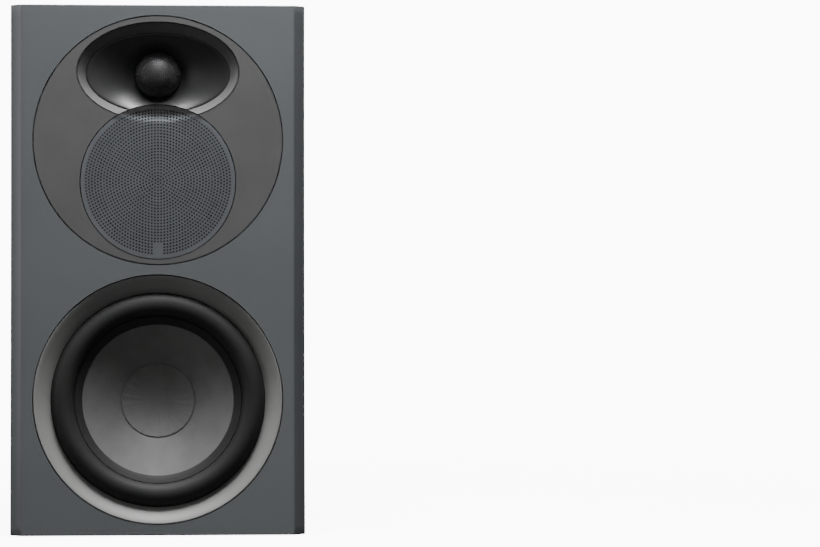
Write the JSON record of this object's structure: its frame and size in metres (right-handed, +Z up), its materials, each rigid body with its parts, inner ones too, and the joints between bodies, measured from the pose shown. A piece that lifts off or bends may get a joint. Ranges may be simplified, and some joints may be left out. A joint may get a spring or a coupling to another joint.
{
  "type": "bookshelf speaker",
  "caption": "Three-way passive stand-mount loudspeaker: hollow-curved baffle, elliptical tweeter horn over a perforated midrange grille, large woofer, rear port and binding posts.",
  "frame": {"origin": "centre of the bounding box's footprint, on the surface that the four feet stand on", "axes": "+Z up, -Y out of the front baffle, +Y out of the back, +X to the right seen from the front"},
  "size_m": [0.236, 0.2802, 0.426],
  "materials": {
    "lacquer": "satin slate lacquer on HDF",
    "fascia": "fine matt moulding",
    "horn": "satin black moulding",
    "grille": "perforated, satin paint",
    "ring": "bead blasted",
    "rubber": "satin",
    "pulp": "coated pulp",
    "silk": "coated silk",
    "casting": "cast, dull",
    "steel": "zinc plated",
    "ferrite": "sintered ferrite",
    "copper": "enamelled copper wire",
    "cloth": "resin treated cotton",
    "black_plastic": "moulded",
    "chrome": "polished",
    "board": "glass epoxy laminate",
    "ceramic": "cement",
    "wadding": "polyester fibre"
  },
  "bodies": {
    "root": {"back_panel": "lacquer", "bass_capacitor": "black_plastic", "bass_coil": "copper", "bottom_panel": "lacquer", "crossover_board": "board", "cup_screw_1": "steel", "cup_screw_2": "steel", "cup_screw_3": "steel", "cup_screw_4": "steel", "damping_wadding": "wadding", "foot_back_left": "rubber", "foot_back_right": "rubber", "foot_front_left": "rubber", "foot_front_right": "rubber", "front_baffle": "lacquer", "left_side_panel": "lacquer", "midrange_basket": "casting", "midrange_chamber": "black_plastic", "midrange_grille": "grille", "midrange_leads": "black_plastic", "midrange_magnet": "ferrite", "midrange_resistor": "ceramic", "midrange_spider": "cloth", "midrange_surround": "rubber", "midrange_yoke": "steel", "port_tube": "black_plastic", "post_stud_black": "chrome", "post_stud_red": "chrome", "right_side_panel": "lacquer", "terminal_cup": "black_plastic", "top_panel": "lacquer", "tweeter_capacitor": "black_plastic", "tweeter_chassis": "black_plastic", "tweeter_grille": "grille", "tweeter_horn": "horn", "tweeter_leads": "black_plastic", "tweeter_motor": "steel", "tweeter_surround": "silk", "waveguide_plate": "fascia", "window_brace": "lacquer", "woofer_basket": "casting", "woofer_leads": "black_plastic", "woofer_magnet": "ferrite", "woofer_spider": "cloth", "woofer_surround": "rubber", "woofer_top_plate": "steel", "woofer_trim_ring": "ring", "woofer_yoke": "steel"},
    "woofer_cone_assembly": {"woofer_cone": "pulp", "woofer_dust_cap": "pulp", "woofer_voice_coil": "copper"},
    "midrange_cone_assembly": {"midrange_cone": "pulp", "midrange_dust_cap": "pulp", "midrange_voice_coil": "copper"},
    "tweeter_dome_assembly": {"tweeter_dome": "silk", "tweeter_voice_coil": "copper"},
    "red_washer": {"post_washer_red": "chrome"},
    "red_knob": {"post_knob_red": "black_plastic"},
    "black_washer": {"post_washer_black": "chrome"},
    "black_knob": {"post_knob_black": "black_plastic"}
  },
  "joints": [
    {"name": "woofer_travel", "type": "slide", "parent": "root", "child": "woofer_cone_assembly", "axis": [0, -0.9981, 0.0614], "range_m": [-0.005, 0.005], "stiffness_N_per_m": 1200, "deforming": ["woofer_surround", "woofer_spider"]},
    {"name": "midrange_travel", "type": "slide", "parent": "root", "child": "midrange_cone_assembly", "axis": [0, -1, 0], "range_m": [-0.002, 0.002], "stiffness_N_per_m": 1500, "deforming": ["midrange_surround", "midrange_spider"]},
    {"name": "tweeter_travel", "type": "slide", "parent": "root", "child": "tweeter_dome_assembly", "axis": [0, -1, 0], "range_m": [-0.0004, 0.0004], "stiffness_N_per_m": 1500, "deforming": ["tweeter_surround"]},
    {"name": "red_washer_slide", "type": "slide", "parent": "root", "child": "red_washer", "axis": [0, 1, 0], "range_m": [0, 0.005]},
    {"name": "red_knob_turn", "type": "hinge", "parent": "red_washer", "child": "red_knob", "pos_m": [0.019, 0.12743, 0.133], "axis": [0, 1, 0], "range_deg": [0, 1800]},
    {"name": "black_washer_slide", "type": "slide", "parent": "root", "child": "black_washer", "axis": [0, 1, 0], "range_m": [0, 0.005]},
    {"name": "black_knob_turn", "type": "hinge", "parent": "black_washer", "child": "black_knob", "pos_m": [-0.019, 0.12743, 0.133], "axis": [0, 1, 0], "range_deg": [0, 1800]}
  ],
  "couplings": [
    {"joint": "red_knob_turn", "follows": "red_washer_slide", "rad_per_m": 6283.2},
    {"joint": "black_knob_turn", "follows": "black_washer_slide", "rad_per_m": 6283.2}
  ]
}
